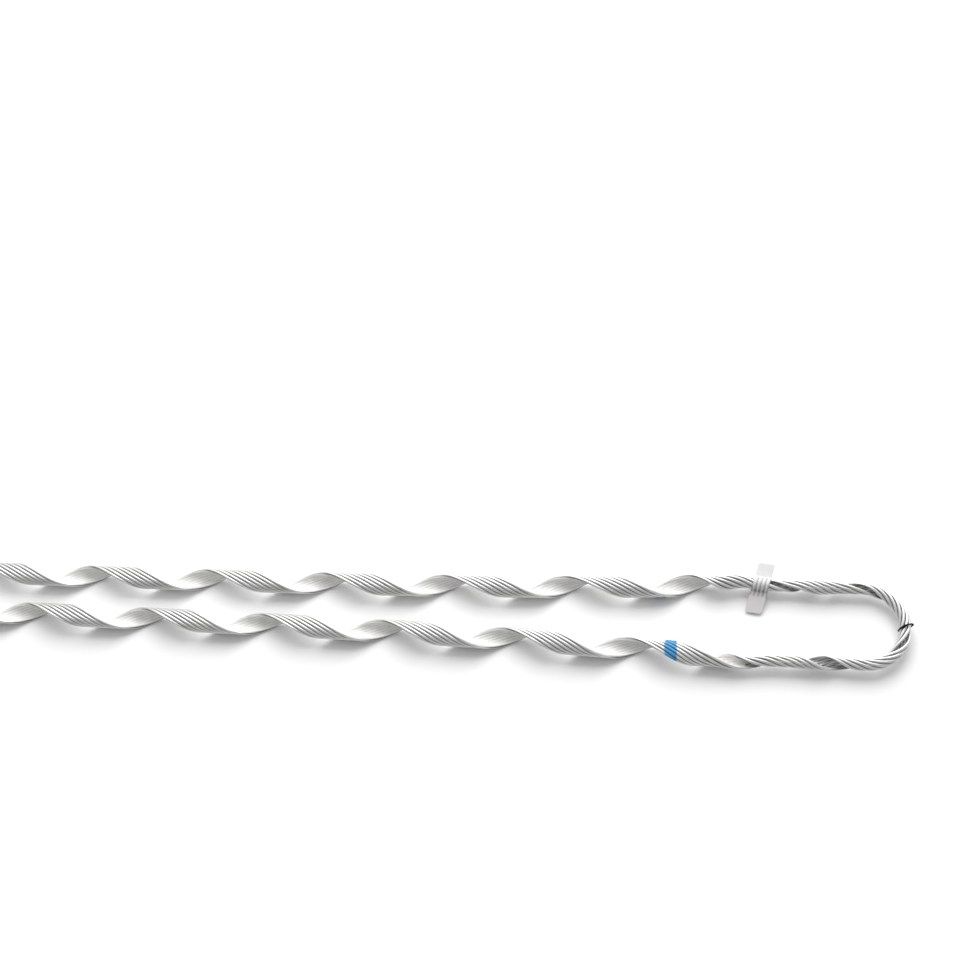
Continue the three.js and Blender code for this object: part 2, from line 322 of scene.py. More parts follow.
def vector_calc(tree, operation, *values):
    made = node(tree, "ShaderNodeVectorMath", dict(enumerate(values)), operation=operation)
    return made.outputs[0]


def scaled(tree, vector, factor):
    made = node(tree, "ShaderNodeVectorMath", {"Vector": vector, "Scale": factor}, operation="SCALE")
    return made.outputs["Vector"]


def span(tree, value, from_low, from_high, to_low=0.0, to_high=1.0, smooth=False):
    """Maps a range of a value to another range."""
    kind = "SMOOTHSTEP" if smooth else "LINEAR"
    inputs = {
        "Value": value,
        "From Min": from_low,
        "From Max": from_high,
        "To Min": to_low,
        "To Max": to_high,
    }
    return node(tree, "ShaderNodeMapRange", inputs, interpolation_type=kind).outputs[0]


def blend_colour(tree, factor, first, second):
    made = node(tree, "ShaderNodeMix", {"Factor": factor}, data_type="RGBA", blend_type="MIX")
    for socket, value in zip((made.inputs[6], made.inputs[7]), (first, second)):
        if isinstance(value, bpy.types.NodeSocket):
            tree.links.new(value, socket)
        else:
            socket.default_value = (*value[:3], 1.0)
    return made.outputs[2]


def new_tree(name, inputs):
    """A geometry tree with the named inputs, and its group input and output nodes."""
    tree = bpy.data.node_groups.new(name, "GeometryNodeTree")
    tree.interface.new_socket("Geometry", in_out="INPUT", socket_type="NodeSocketGeometry")
    for label, kind, value in inputs:
        socket = tree.interface.new_socket(label, in_out="INPUT", socket_type=f"NodeSocket{kind}")
        if value is not None:
            socket.default_value = value
    tree.interface.new_socket("Geometry", in_out="OUTPUT", socket_type="NodeSocketGeometry")
    return tree, tree.nodes.new("NodeGroupInput").outputs, tree.nodes.new("NodeGroupOutput")


def attribute(tree, name, kind="FLOAT"):
    made = node(tree, "GeometryNodeInputNamedAttribute", {"Name": name}, data_type=kind)
    return made.outputs["Attribute"]


def outward_from(tree, angle):
    """Direction away from the centre line at an angle, from the inside of the loop upwards."""
    level = scaled(tree, attribute(tree, "inward", "FLOAT_VECTOR"), calc(tree, "COSINE", angle))
    upright = node(tree, "ShaderNodeCombineXYZ", {"Z": calc(tree, "SINE", angle)}).outputs[0]
    return vector_calc(tree, "ADD", level, upright)


def stored(tree, geometry, name, value, kind="FLOAT"):
    """Keeps a value at each point of a geometry under a name."""
    inputs = {"Geometry": geometry, "Name": name, "Value": value}
    return node(tree, "GeometryNodeStoreNamedAttribute", inputs, data_type=kind, domain="POINT").outputs[0]


def finish_tree(tree, geometry, given, last):
    """Ends a tree: smooth faces with hard corners, real geometry and its material."""
    corner = node(tree, "GeometryNodeInputMeshEdgeAngle").outputs[0]
    inputs = {0: corner, 1: SHARP_CORNER}
    gentle = node(tree, "FunctionNodeCompare", inputs, operation="LESS_THAN").outputs[0]
    smooth_faces = node(tree, "GeometryNodeSetShadeSmooth", {"Geometry": geometry, "Shade Smooth": True})
    smooth_edges = node(
        tree,
        "GeometryNodeSetShadeSmooth",
        {"Geometry": smooth_faces.outputs[0], "Shade Smooth": gentle},
        domain="EDGE",
    )
    real = node(tree, "GeometryNodeRealizeInstances", {"Geometry": smooth_edges.outputs[0]})
    inputs = {"Geometry": real.outputs[0], "Material": given["Material"]}
    painted = node(tree, "GeometryNodeSetMaterial", inputs)
    tree.links.new(painted.outputs[0], last.inputs[0])


def wire_tree():
    """Moves a copy of the centre line out to one wire's place in the lay, and gives it a round section.

    It keeps where a point lies on the wire: crest is 1 outside the lay and -1 inside it, and free is 1 on
    the open side of an edge wire where that side looks to the back, towards the key light; there the
    wire's painted groove shade is left off."""
    tree, given, last = new_tree(
        "Wire laid along the grip",
        [
            ("Places from the middle wire", "Float", 0.0),
            ("Wire diameter", "Float", 2.5 * MM),
            ("Free side", "Float", 0.0),
            ("Sides", "Int", 16),
            ("Material", "Material", None),
        ],
    )
    swing = calc(tree, "MULTIPLY", given["Places from the middle wire"], attribute(tree, "wire_angle"))
    angle = calc(tree, "ADD", attribute(tree, "turn"), swing)
    facing = outward_from(tree, angle)
    # The open side's weight falls to 0 where it faces the front, away from the key light behind the grip:
    # painted groove shade stays on there and is lifted where it faces the back.
    across = scaled(tree, outward_from(tree, calc(tree, "ADD", angle, math.pi / 2)), given["Free side"])
    backward = node(tree, "ShaderNodeSeparateXYZ", {"Vector": across}).outputs["Y"]
    sideways = scaled(tree, across, calc(tree, "MULTIPLY_ADD", backward, 1.5, 1.0, clamp=True))
    shift = scaled(tree, facing, attribute(tree, "ring"))
    faced = stored(tree, given["Geometry"], "facing", facing, "FLOAT_VECTOR")
    faced = stored(tree, faced, "sideways", sideways, "FLOAT_VECTOR")
    laid = node(tree, "GeometryNodeSetPosition", {"Geometry": faced, "Offset": shift})
    place = node(tree, "GeometryNodeInputPosition").outputs[0]
    centred = stored(tree, laid.outputs[0], "middle", place, "FLOAT_VECTOR")
    curve = node(tree, "GeometryNodeMeshToCurve", {"Mesh": centred})
    inputs = {"Curve": curve.outputs[0], "Radius": attribute(tree, "fullness")}
    trimmed = node(tree, "GeometryNodeSetCurveRadius", inputs)
    radius = calc(tree, "MULTIPLY", given["Wire diameter"], 0.5)
    inputs = {"Resolution": given["Sides"], "Radius": radius}
    circle = node(tree, "GeometryNodeCurvePrimitiveCircle", inputs, mode="RADIUS")
    section = stored(tree, circle.outputs[0], "section", place, "FLOAT_VECTOR")
    body = node(
        tree,
        "GeometryNodeCurveToMesh",
        {"Curve": trimmed.outputs[0], "Profile Curve": section, "Fill Caps": True},
    )
    from_middle = vector_calc(tree, "SUBTRACT", place, attribute(tree, "middle", "FLOAT_VECTOR"))
    shown = body.outputs[0]
    for name, direction in (("crest", "facing"), ("free", "sideways")):
        reach = node(
            tree,
            "ShaderNodeVectorMath",
            {0: from_middle, 1: attribute(tree, direction, "FLOAT_VECTOR")},
            operation="DOT_PRODUCT",
        ).outputs["Value"]
        shown = stored(tree, shown, name, calc(tree, "DIVIDE", reach, radius))
    finish_tree(tree, shown, given, last)
    return tree


def lining_tree():
    """Lays a closed strip against the inside of the wires, dipping in between them."""
    tree, given, last = new_tree(
        "Lining bedded in a leg",
        [
            ("Wire diameter", "Float", 2.5 * MM),
            ("Cover", "Float", 0.35 * MM),
            ("Dip", "Float", 0.3 * MM),
            ("Depth", "Float", 0.5 * MM),
            ("Unevenness", "Float", 0.08 * MM),
            ("Seed", "Float", 4.0),
            ("Material", "Material", None),
        ],
    )
    across = attribute(tree, "across")
    swing = calc(tree, "MULTIPLY", across, attribute(tree, "wire_angle"))
    angle = calc(tree, "ADD", attribute(tree, "turn"), swing)
    wire_radius = calc(tree, "MULTIPLY", given["Wire diameter"], 0.5)
    inside = calc(tree, "SUBTRACT", attribute(tree, "ring"), wire_radius)
    wave = calc(tree, "COSINE", calc(tree, "MULTIPLY", across, 2 * math.pi))
    valley = calc(tree, "MULTIPLY", calc(tree, "SUBTRACT", 1.0, wave), 0.5)
    dip = calc(tree, "MULTIPLY", valley, given["Dip"])
    noise = node(
        tree,
        "ShaderNodeTexNoise",
        {
            "Vector": attribute(tree, "along_strip", "FLOAT_VECTOR"),
            "W": given["Seed"],
            "Scale": 1.0,
            "Detail": 2.0,
        },
        noise_dimensions="4D",
    ).outputs[0]
    uneven = calc(tree, "MULTIPLY", calc(tree, "SUBTRACT", noise, 0.5), given["Unevenness"])
    near_face = calc(tree, "ADD", calc(tree, "SUBTRACT", dip, given["Cover"]), uneven)
    back_face = given["Depth"]
    depth = attribute(tree, "back")
    inputs = {"Factor": depth, "A": near_face, "B": back_face}
    offset = node(tree, "ShaderNodeMix", inputs, data_type="FLOAT").outputs[0]
    radius = calc(tree, "ADD", inside, offset)
    shift = scaled(tree, outward_from(tree, angle), radius)
    laid = node(tree, "GeometryNodeSetPosition", {"Geometry": given["Geometry"], "Offset": shift})
    finish_tree(tree, laid.outputs[0], given, last)
    return tree


def grown(host, tree, values):
    """Runs a tree on a host object and leaves its result as the host's plain mesh."""
    modifier = host.modifiers.new("Rule", "NODES")
    modifier.node_group = tree
    names = {item.name: item.identifier for item in tree.interface.items_tree if item.in_out == "INPUT"}
    for label, value in values.items():
        modifier[names[label]] = value
    bpy.context.view_layer.update()
    graph = bpy.context.evaluated_depsgraph_get()
    grown_host = host.evaluated_get(graph)
    mesh = bpy.data.meshes.new_from_object(grown_host, preserve_all_data_layers=True, depsgraph=graph)
    host.modifiers.clear()
    plain = host.data
    host.data = mesh
    mesh.name = host.name
    bpy.data.meshes.remove(plain)
    if not len(mesh.polygons):
        raise RuntimeError(f"{host.name} came out empty")
    return host


# Meshes


def add_object(name, mesh):
    made = bpy.data.objects.new(name, mesh)
    bpy.context.scene.collection.objects.link(made)
    return made


def set_attribute(mesh, name, values):
    """Stores numbers or vectors on a mesh's points."""
    values = np.asarray(values, float)
    kind, key = ("FLOAT_VECTOR", "vector") if values.ndim == 2 else ("FLOAT", "value")
    mesh.attributes.new(name, kind, "POINT").data.foreach_set(key, values.ravel())


def point_mesh(name, run, s, edges=(), faces=(), **extra):
    """A mesh on the centre line that carries what the trees need at each point."""
    at = run.at(s)
    mesh = bpy.data.meshes.new(name)
    mesh.from_pydata(at["centre"].tolist(), edges, faces)
    for key in ("inward", "turn", "ring", "wire_angle"):
        set_attribute(mesh, key, at[key])
    for key, values in extra.items():
        set_attribute(mesh, key, values)
    return mesh


def mesh_object(name, points, faces, material, smooth=True):
    mesh = bpy.data.meshes.new(name)
    mesh.from_pydata(np.asarray(points, float).tolist(), [], faces)
    mesh.materials.append(material)
    mesh.polygons.foreach_set("use_smooth", [smooth] * len(mesh.polygons))
    mesh.update()
    return add_object(name, mesh)


def as_piece(piece, slot, *nodes):
    """Attaches a finished piece to the body it rides on and hides the solids it stands for. The slot
    argument is not used.
    """
    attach(piece, BODY)
    if nodes:
        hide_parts(*nodes)
    return piece


# Materials


def new_material(name):
    material = bpy.data.materials.new(name)
    material.use_nodes = True
    tree = material.node_tree
    return material, tree, tree.nodes["Principled BSDF"]


def noise(tree, vector, scale, detail=2.0, roughness=0.5):
    inputs = {"Vector": vector, "Scale": scale, "Detail": detail, "Roughness": roughness}
    return node(tree, "ShaderNodeTexNoise", inputs).outputs[0]


def object_place(tree):
    return tree.nodes.new("ShaderNodeTexCoord").outputs["Object"]


def surface_attribute(tree, name, output="Vector"):
    read = node(tree, "ShaderNodeAttribute", attribute_name=name, attribute_type="GEOMETRY")
    return read.outputs[output]


def bumped(tree, shader, height, distance, strength=1.0):
    bump = node(tree, "ShaderNodeBump", {"Height": height, "Distance": distance, "Strength": strength})
    tree.links.new(bump.outputs[0], shader.inputs["Normal"])


def mark_mask(tree, place, finish):
    """One inside the crossover marks. The near leg's is cut back below, the far leg's lies underneath."""
    parts = node(tree, "ShaderNodeSeparateXYZ", {"Vector": place}).outputs
    soft = 0.6 * MM
    ragged = calc(tree, "MULTIPLY", calc(tree, "SUBTRACT", noise(tree, place, 900.0), 0.5), 1.5 * MM)
    x = calc(tree, "ADD", parts["X"], ragged)
    half = finish.mark_width / 2
    cut_back = span(tree, parts["Z"], 9 * MM, -6 * MM, 0.0, finish.mark_width / 2)
    start = calc(tree, "ADD", cut_back, finish.near_mark - half)
    after_start = span(tree, calc(tree, "SUBTRACT", x, start), -soft, soft)
    before_end = span(tree, x, finish.near_mark + half + soft, finish.near_mark + half - soft)
    band = calc(tree, "MULTIPLY", after_start, before_end)
    near = calc(tree, "MULTIPLY", band, calc(tree, "LESS_THAN", parts["Y"], 0.0))
    off = calc(tree, "ABSOLUTE", calc(tree, "SUBTRACT", x, finish.far_mark))
    low = span(tree, parts["Z"], finish.far_mark_top, finish.far_mark_top - 2 * MM)
    inner = span(tree, parts["Y"], finish.far_mark_back, finish.far_mark_back - 2 * MM)
    band = span(tree, off, half + soft, half - soft)
    far = calc(tree, "MULTIPLY", band, calc(tree, "MULTIPLY", low, inner))
    far = calc(tree, "MULTIPLY", far, calc(tree, "GREATER_THAN", parts["Y"], 0.0))
    return calc(tree, "ADD", near, far)


def zinc_material(finish):
    """Drawn, galvanised wire with a blue mark on each leg, with painted shade: dark in its grooves, darker
    over the rope and darker still inside it, and the blue darker low down.
    """
    material, tree, shader = new_material("galvanised_wire")
    place = object_place(tree)
    section = surface_attribute(tree, "section")
    along = surface_attribute(tree, "along", "Fac")
    stretched = node(tree, "ShaderNodeCombineXYZ", {"Z": calc(tree, "MULTIPLY", along, 0.02)}).outputs[0]
    drawn_place = vector_calc(tree, "ADD", section, stretched)
    drawn = noise(tree, drawn_place, 6000.0, 3.0, 0.6)
    bloom = noise(tree, place, 140.0, 3.0)
    spangle = noise(tree, place, 900.0, 2.0)
    paint = mark_mask(tree, place, finish)
    zinc_dark = tuple(0.86 * part for part in finish.zinc)
    zinc = blend_colour(tree, span(tree, bloom, 0.35, 0.65), zinc_dark, finish.zinc)
    streaked = blend_colour(tree, span(tree, drawn, 0.3, 0.7, 0.0, 0.3), zinc, (0.52, 0.52, 0.51))
    parts = node(tree, "ShaderNodeSeparateXYZ", {"Vector": place}).outputs
    # Painted shade: the marks' blue darkens to 0.4 of itself from 8 mm above the axis down to it and
    # below.
    blue_shade = tuple(0.4 * part for part in finish.paint)
    blue = blend_colour(tree, span(tree, parts["Z"], 0, 8 * MM), blue_shade, finish.paint)
    # Painted shade over the rope, fading in from X -115 mm to -95 mm, towards the tip.
    rope_from, rope_to = -115 * MM, -95 * MM
    rope = span(tree, parts["X"], rope_from, rope_to, smooth=True)
    # Painted shade: the colour darkens where a wire's side sinks towards its neighbours, between the
    # wires, where shade falls.
    crest = surface_attribute(tree, "crest", "Fac")
    sunk = span(tree, crest, 0.75, 0.05, 0.0, 1.0, smooth=True)
    inner = calc(tree, "MULTIPLY_ADD", rope, 0.15, crest)
    groove = calc(tree, "SUBTRACT", sunk, span(tree, inner, -0.2, -0.85, 0.0, 0.9, smooth=True))
    # No painted groove shade on the open side of an edge wire that faces the back, towards the key light.
    free = surface_attribute(tree, "free", "Fac")
    groove = calc(tree, "MULTIPLY", groove, span(tree, free, 0.1, 0.6, 1.0, 0.0))
    # Painted shade inside the rope: the inner side of its wires goes darker.
    inside = calc(tree, "MULTIPLY", rope, span(tree, crest, 0.1, -0.3))
    # Painted groove shade colour: dark grey on bare wire, dark blue on the marks, darker grey inside the
    # rope.
    groove_shade = blend_colour(tree, paint, (0.2, 0.2, 0.195), (0.03, 0.12, 0.27))
    groove_shade = blend_colour(tree, inside, groove_shade, (0.13, 0.13, 0.13))
    # Painted shade on the rope's outer side: the whole colour darkens to 0.84 of the zinc, and its groove
    # shade is eased by 0.3.
    outer = calc(tree, "SUBTRACT", rope, inside)
    groove = calc(tree, "MULTIPLY", groove, calc(tree, "MULTIPLY_ADD", outer, -0.3, 1.0))
    rope_shaded = blend_colour(tree, outer, streaked, tuple(0.84 * part for part in finish.zinc))
    shaded_colour = blend_colour(tree, groove, blend_colour(tree, paint, rope_shaded, blue), groove_shade)
    tree.links.new(shaded_colour, shader.inputs["Base Color"])
    bare = calc(tree, "SUBTRACT", 1.0, paint)
    tree.links.new(calc(tree, "MULTIPLY", bare, 0.8), shader.inputs["Metallic"])
    drawn_rough = span(tree, drawn, 0.3, 0.7, 0.4, 0.5)
    zinc_rough = calc(tree, "ADD", drawn_rough, span(tree, spangle, 0.3, 0.7, -0.03, 0.05))
    inputs = {"Factor": paint, "A": zinc_rough, "B": 0.5}
    rough = node(tree, "ShaderNodeMix", inputs, data_type="FLOAT").outputs[0]
    tree.links.new(rough, shader.inputs["Roughness"])
    height = calc(tree, "ADD", calc(tree, "MULTIPLY", drawn, 0.6), calc(tree, "MULTIPLY", spangle, 0.4))
    bumped(tree, shader, height, 0.02 * MM)
    return material


def grit_material(finish):
    """Pale grit bedded in adhesive, with faint darker lines of painted shade along its dips between the
    wires under it.
    """
    material, tree, shader = new_material("gritted_lining")
    place = object_place(tree)
    grains = noise(tree, place, 2600.0, 3.0, 0.7)
    patches = noise(tree, place, 120.0, 2.0)
    # Painted shade: darker lines along the lining's dips between the wires.
    across = surface_attribute(tree, "across", "Fac")
    wave = calc(tree, "COSINE", calc(tree, "MULTIPLY", across, 2 * math.pi))
    valley = span(tree, wave, -1.0, -0.4, 1.0, 0.0, smooth=True)
    dark = tuple(0.72 * part for part in finish.grit)
    light = tuple(min(1.0, 1.22 * part) for part in finish.grit)
    base = blend_colour(tree, span(tree, patches, 0.3, 0.7), finish.grit, light)
    speckled = blend_colour(tree, span(tree, grains, 0.35, 0.62, 0.55, 0.0), base, dark)
    dip_shaded = blend_colour(tree, calc(tree, "MULTIPLY", valley, 0.6), speckled, dark)
    tree.links.new(dip_shaded, shader.inputs["Base Color"])
    tree.links.new(span(tree, grains, 0.3, 0.7, 0.72, 0.95), shader.inputs["Roughness"])
    bumped(tree, shader, grains, 0.12 * MM, 0.8)
    return material


def film_material(finish):
    """Plain label film, white outside the loop and half clear inside it, with painted shade darkening its
    pleats.
    """
    material, tree, shader = new_material("label_film")
    place = object_place(tree)
    clouds = noise(tree, place, 180.0, 2.0)
    clear = surface_attribute(tree, "clear", "Fac")
    fold = surface_attribute(tree, "fold", "Fac")
    clouded = tuple(0.95 * part for part in finish.film)
    white = blend_colour(tree, span(tree, clouds, 0.3, 0.7), clouded, finish.film)
    film = blend_colour(tree, clear, white, finish.clear_film)
    # Painted shade: the film darkens towards grey in the folds of its pleats.
    pleat_shaded = blend_colour(tree, span(tree, fold, 0.35, 0.9, 0.0, 0.6), film, (0.24, 0.24, 0.24))
    tree.links.new(pleat_shaded, shader.inputs["Base Color"])
    tree.links.new(span(tree, clouds, 0.3, 0.7, 0.42, 0.55), shader.inputs["Roughness"])
    tree.links.new(span(tree, clear, 0.0, 1.0, 1.0, 0.8), shader.inputs["Alpha"])
    bumped(tree, shader, noise(tree, place, 700.0, 2.0), 0.03 * MM)
    return material


def cord_material(finish):
    """Dull black twisted cord."""
    material, tree, shader = new_material("tie_cord")
    place = object_place(tree)
    fibres = noise(tree, place, 2400.0, 3.0)
    light = tuple(3.0 * part for part in finish.cord)
    base = blend_colour(tree, span(tree, fibres, 0.4, 0.7), finish.cord, light)
    tree.links.new(base, shader.inputs["Base Color"])
    shader.inputs["Roughness"].default_value = 0.8
    shader.inputs["Specular IOR Level"].default_value = 0.15
    bumped(tree, shader, fibres, 0.1 * MM)
    return material


# Pieces


class GRIP_OT_wires(bpy.types.Operator):
    """Lay the seven formed wires along both legs and through the loop"""

    bl_idname = "grip.wires"
    bl_label = "Formed wires"

    def execute(self, context):
        scene = context.scene
        wire = scene.grip_wire
        run = make_run(scene)
        material = zinc_material(scene.grip_finish)
        tree = wire_tree()
        end = scene.grip_run.leg_end
        trims = np.array([0.0, 0.12, 0.45]) * MM
        count = round((end - 2 * MM) / wire.step)
        half = np.concatenate([np.linspace(0, end - 2 * MM, count + 1), end - trims[::-1]])
        s = np.concatenate([-half[:0:-1], half])
        from_end = end - np.abs(s)
        fullness = np.interp(from_end, trims, (0.78, 0.93, 1.0))
        edges = [(i, i + 1) for i in range(len(s) - 1)]
        middle = (WIRES + 1) / 2
        for number in range(1, WIRES + 1):
            name = f"formed_wire_{number}"
            host = add_object(name, point_mesh(name, run, s, edges, along=s, fullness=fullness))
            values = {
                "Places from the middle wire": number - middle,
                "Wire diameter": wire.diameter,
                "Free side": {1: -1.0, WIRES: 1.0}.get(number, 0.0),
                "Sides": wire.sides,
                "Material": material,
            }
            as_piece(grown(host, tree, values), "wire", f"wire_{number}")
        return {"FINISHED"}


class GRIP_OT_linings(bpy.types.Operator):
    """Bed the gritted lining against the inside of each leg's wires"""

    bl_idname = "grip.linings"
    bl_label = "Gritted linings"

    def execute(self, context):
        scene = context.scene
        lining = scene.grip_lining
        run = make_run(scene)
        material = grit_material(scene.grip_finish)
        tree = lining_tree()
        values = {
            "Wire diameter": scene.grip_wire.diameter,
            "Cover": lining.cover,
            "Dip": lining.dip,
            "Depth": lining.depth,
            "Material": material,
        }
        end = scene.grip_run.leg_end - lining.end_margin
        rings = round((end - lining.start) / (2 * MM))
        inner = np.linspace(-lining.reach, lining.reach, 57)
        outer = np.linspace(lining.reach - 0.12, 0.12 - lining.reach, 29)
        across = np.concatenate([inner, outer])
        back = np.concatenate([np.zeros(len(inner)), np.ones(len(outer))])
        width = len(across)
        for side, name, cad_node in (
            (-1, "near_leg_grit", "near_leg_lining"),
            (1, "far_leg_grit", "far_leg_lining"),
        ):
            places = side * np.linspace(lining.start, end, rings + 1)
            if side < 0:
                places = places[::-1]
            s = np.repeat(places, width)
            faces = []
            for ring in range(rings):
                low = ring * width
                for i in range(width):
                    j = (i + 1) % width
                    faces.append((low + i, low + j, low + width + j, low + width + i))
            faces.append(tuple(range(width))[::-1])
            faces.append(tuple(rings * width + i for i in range(width)))
            strip = np.stack([s / (4 * MM), np.tile(across, rings + 1), 0 * s], 1)
            mesh = point_mesh(
                name,
                run,
                s,
                faces=faces,
                across=np.tile(across, rings + 1),
                back=np.tile(back, rings + 1),
                along_strip=strip,
            )
            as_piece(grown(add_object(name, mesh), tree, values), "lining", cad_node)
        return {"FINISHED"}


def sheet_faces(rows, columns):
    """Faces of a closed sheet whose front and back grids have rows by columns points."""
    back = rows * columns
    faces = []
    for row in range(rows - 1):
        for column in range(columns - 1):
            a = row * columns + column
            faces.append((a, a + 1, a + columns + 1, a + columns))
            faces.append((back + a, back + a + columns, back + a + columns + 1, back + a + 1))
    rim = list(range(columns))
    rim += [row * columns + columns - 1 for row in range(1, rows)]
    rim += [(rows - 1) * columns + column for column in range(columns - 2, -1, -1)]
    rim += [row * columns for row in range(rows - 2, 0, -1)]
    for a, b in zip(rim, rim[1:] + rim[:1]):
        faces.append((b, a, back + a, back + b))
    return faces


def film_sheet(name, rows, offsets, thickness, material, place_at):
    """A thin film. A row is a point in section, its width, its pleats' depth and how clear it is."""
    rows = np.asarray(rows, float)
    ahead = np.gradient(rows[:, :2], axis=0)
    normal = np.stack([ahead[:, 1], -ahead[:, 0]], 1)
    normal /= np.linalg.norm(normal, axis=1)[:, None]
    points, folds, clear = [], [], []
    for side in (0.5, -0.5):
        for row, out in zip(rows, normal):
            for offset, fold in offsets:
                inset = side * thickness - fold * row[3]
                points.append(place_at(row[:2] + out * inset, offset * row[2]))
                folds.append(fold * min(1.0, row[3] / thickness))
                clear.append(row[4])
    sheet = mesh_object(name, points, sheet_faces(len(rows), len(offsets)), material)
    set_attribute(sheet.data, "fold", folds)
    set_attribute(sheet.data, "clear", clear)
    return sheet


class GRIP_OT_label(bpy.types.Operator):
    """Fold the plain flag label round the far side of the loop"""

    bl_idname = "grip.label"
    bl_label = "Flag label"

    def execute(self, context):
        scene = context.scene
        label = scene.grip_label
        run = make_run(scene)
        edge = run.at([label.place + label.width / 2])
        radius = edge["ring"][0] + scene.grip_wire.diameter / 2 + label.space + label.sheet / 2
        outward = -Vector(run.at([label.place])["inward"][0])
        along = outward.cross(Vector((0, 0, 1)))
        lean = math.tan(label.skew)

        def place_at(point, offset):
            centre = Vector(run.at([label.place - offset])["centre"][0])
            return centre + outward * point[0] + Vector((0, 0, point[1])) + along * (point[0] * lean)

        rise, droop = label.outer_rise, math.pi + label.inner_droop
        pair = label.sheet * 0.55
        root = math.asin(pair / radius) + 0.12
        width = label.width - label.sheet

        def tail(angle, length, side, clear):
            """Rows from a tail's root to its tip, where the corners are rounded."""
            share = np.sin(np.linspace(0, math.pi / 2, 24))
            distance = radius + 0.5 * MM + share * (length - 0.5 * MM)
            to_tip = radius + length - distance
            cut = label.corner - np.clip(to_tip, 0, label.corner)
            narrow = 1 - (label.corner - np.sqrt(label.corner**2 - cut**2)) / (width / 2)
            pleat = label.pleat_depth * ease(7 * MM, 0, distance - radius) * clear
            return np.stack(
                [
                    distance * math.cos(angle) - side * math.sin(angle),
                    distance * math.sin(angle) + side * math.cos(angle),
                    narrow,
                    pleat,
                    np.full(len(share), clear),
                ],
                1,
            )

        def wrap(low, high, clear_low, clear_high):
            share = np.linspace(0, 1, 33)
            angle = low + share * (high - low)
            clear = clear_low + (clear_high - clear_low) * ease(0.6, 1, share)
            pleat = label.pleat_depth * np.maximum(ease(0, 0.2, share) * ease(1, 0.8, share), clear)
            one = np.ones(len(share))
            return np.stack([radius * np.cos(angle), radius * np.sin(angle), one, pleat, clear], 1)

        upper = np.concatenate(
            [
                tail(rise, label.outer_tail, pair, 0.0)[::-1],
                wrap(rise + root, droop - root, 0.0, 1.0),
                tail(droop, label.inner_tail, -pair, 1.0),
            ]
        )
        lower = np.concatenate(
            [
                tail(droop, label.inner_tail, pair, 1.0)[::-1],
                wrap(rise + 2 * math.pi - root, droop + root, 0.0, 1.0)[::-1],
                tail(rise, label.outer_tail, -pair, 0.0),
            ]
        )
        across = np.linspace(-1, 1, 12 * label.pleats + 1)
        fold = (1 + np.cos(math.pi * label.pleats * (across + 1))) / 2
        offsets = np.stack([across * width / 2, fold], 1)
        material = film_material(scene.grip_finish)
        for name, rows in (("label_upper_film", upper), ("label_lower_film", lower)):
            piece = film_sheet(name, rows, offsets, label.sheet, material, place_at)
            as_piece(piece, "label", "flag_label")
        return {"FINISHED"}


def tube(name, points, radii, sides, material):
    """A closed round tube through points."""
    points = np.asarray(points, float)
    ahead = np.gradient(points, axis=0)
    ahead /= np.linalg.norm(ahead, axis=1)[:, None]
    side = np.cross(ahead[0], (0, 0, 1.0))
    if np.linalg.norm(side) < 0.1:
        side = np.cross(ahead[0], (0, 1.0, 0))
    rings = []
    for point, way, radius in zip(points, ahead, radii):
        side = side - way * side.dot(way)
        side /= np.linalg.norm(side)
        other = np.cross(way, side)
        for k in range(sides):
            angle = 2 * math.pi * k / sides
            rings.append(point + radius * (side * math.cos(angle) + other * math.sin(angle)))
    faces = []
    for i in range(len(points) - 1):
        for k in range(sides):
            m = (k + 1) % sides
            faces.append((i * sides + k, i * sides + m, (i + 1) * sides + m, (i + 1) * sides + k))
    faces.append(tuple(range(sides))[::-1])
    last = (len(points) - 1) * sides
    faces.append(tuple(last + k for k in range(sides)))
    return mesh_object(name, rings, faces, material)


class GRIP_OT_tie(bpy.types.Operator):
    """Wind the dark tie round the rope at the tip and knot it outside"""

    bl_idname = "grip.tie"
    bl_label = "Tie"

    def execute(self, context):
        scene = context.scene
        tie = scene.grip_tie
        ring = make_run(scene).at([0.0])["ring"][0]
        radius = ring + scene.grip_wire.diameter / 2 + tie.space + tie.cord / 2
        material = cord_material(scene.grip_finish)

        def leaning(points):
            points = np.asarray(points, float)
            points[:, 1] += points[:, 0] * math.tan(tie.lean)
            return points + (scene.grip_run.loop_radius, 0, 0)

        angle = np.linspace(0, 2 * math.pi, 73)
        band = radius * np.stack([np.cos(angle), 0 * angle, np.sin(angle)], 1)
        lumps = 0.75 + 0.1 * np.cos(7 * angle + 1) * np.sin(3 * angle)
        lumps = lumps + 0.8 * ease(0.9, 0, np.abs(angle - 1.9))
        turn = np.linspace(0, 2 * math.pi * 1.3, 30)
        knot = np.stack([np.cos(turn) * 0.7, np.sin(2 * turn) * 0.5, np.sin(turn)], 1) * tie.cord * 0.55
        knot += (radius, 0, 0)
        share = np.linspace(0, 1, 10)
        out = radius + tie.cord * 0.2 + share * tie.tail * 0.6
        end = np.stack([out, share * tie.tail * 0.7, 0.2 * MM * share], 1)
        tubes = (("tie_band", band, lumps), ("tie_knot", knot, 0.8), ("tie_end", end, 0.75))
        for name, points, thick in tubes:
            radii = np.broadcast_to(thick * tie.cord / 2, len(points))
            piece = tube(name, leaning(points), radii, 10, material)
            as_piece(piece, "tie", *(["loop_tie"] if name == "tie_band" else []))
        return {"FINISHED"}


# Stage


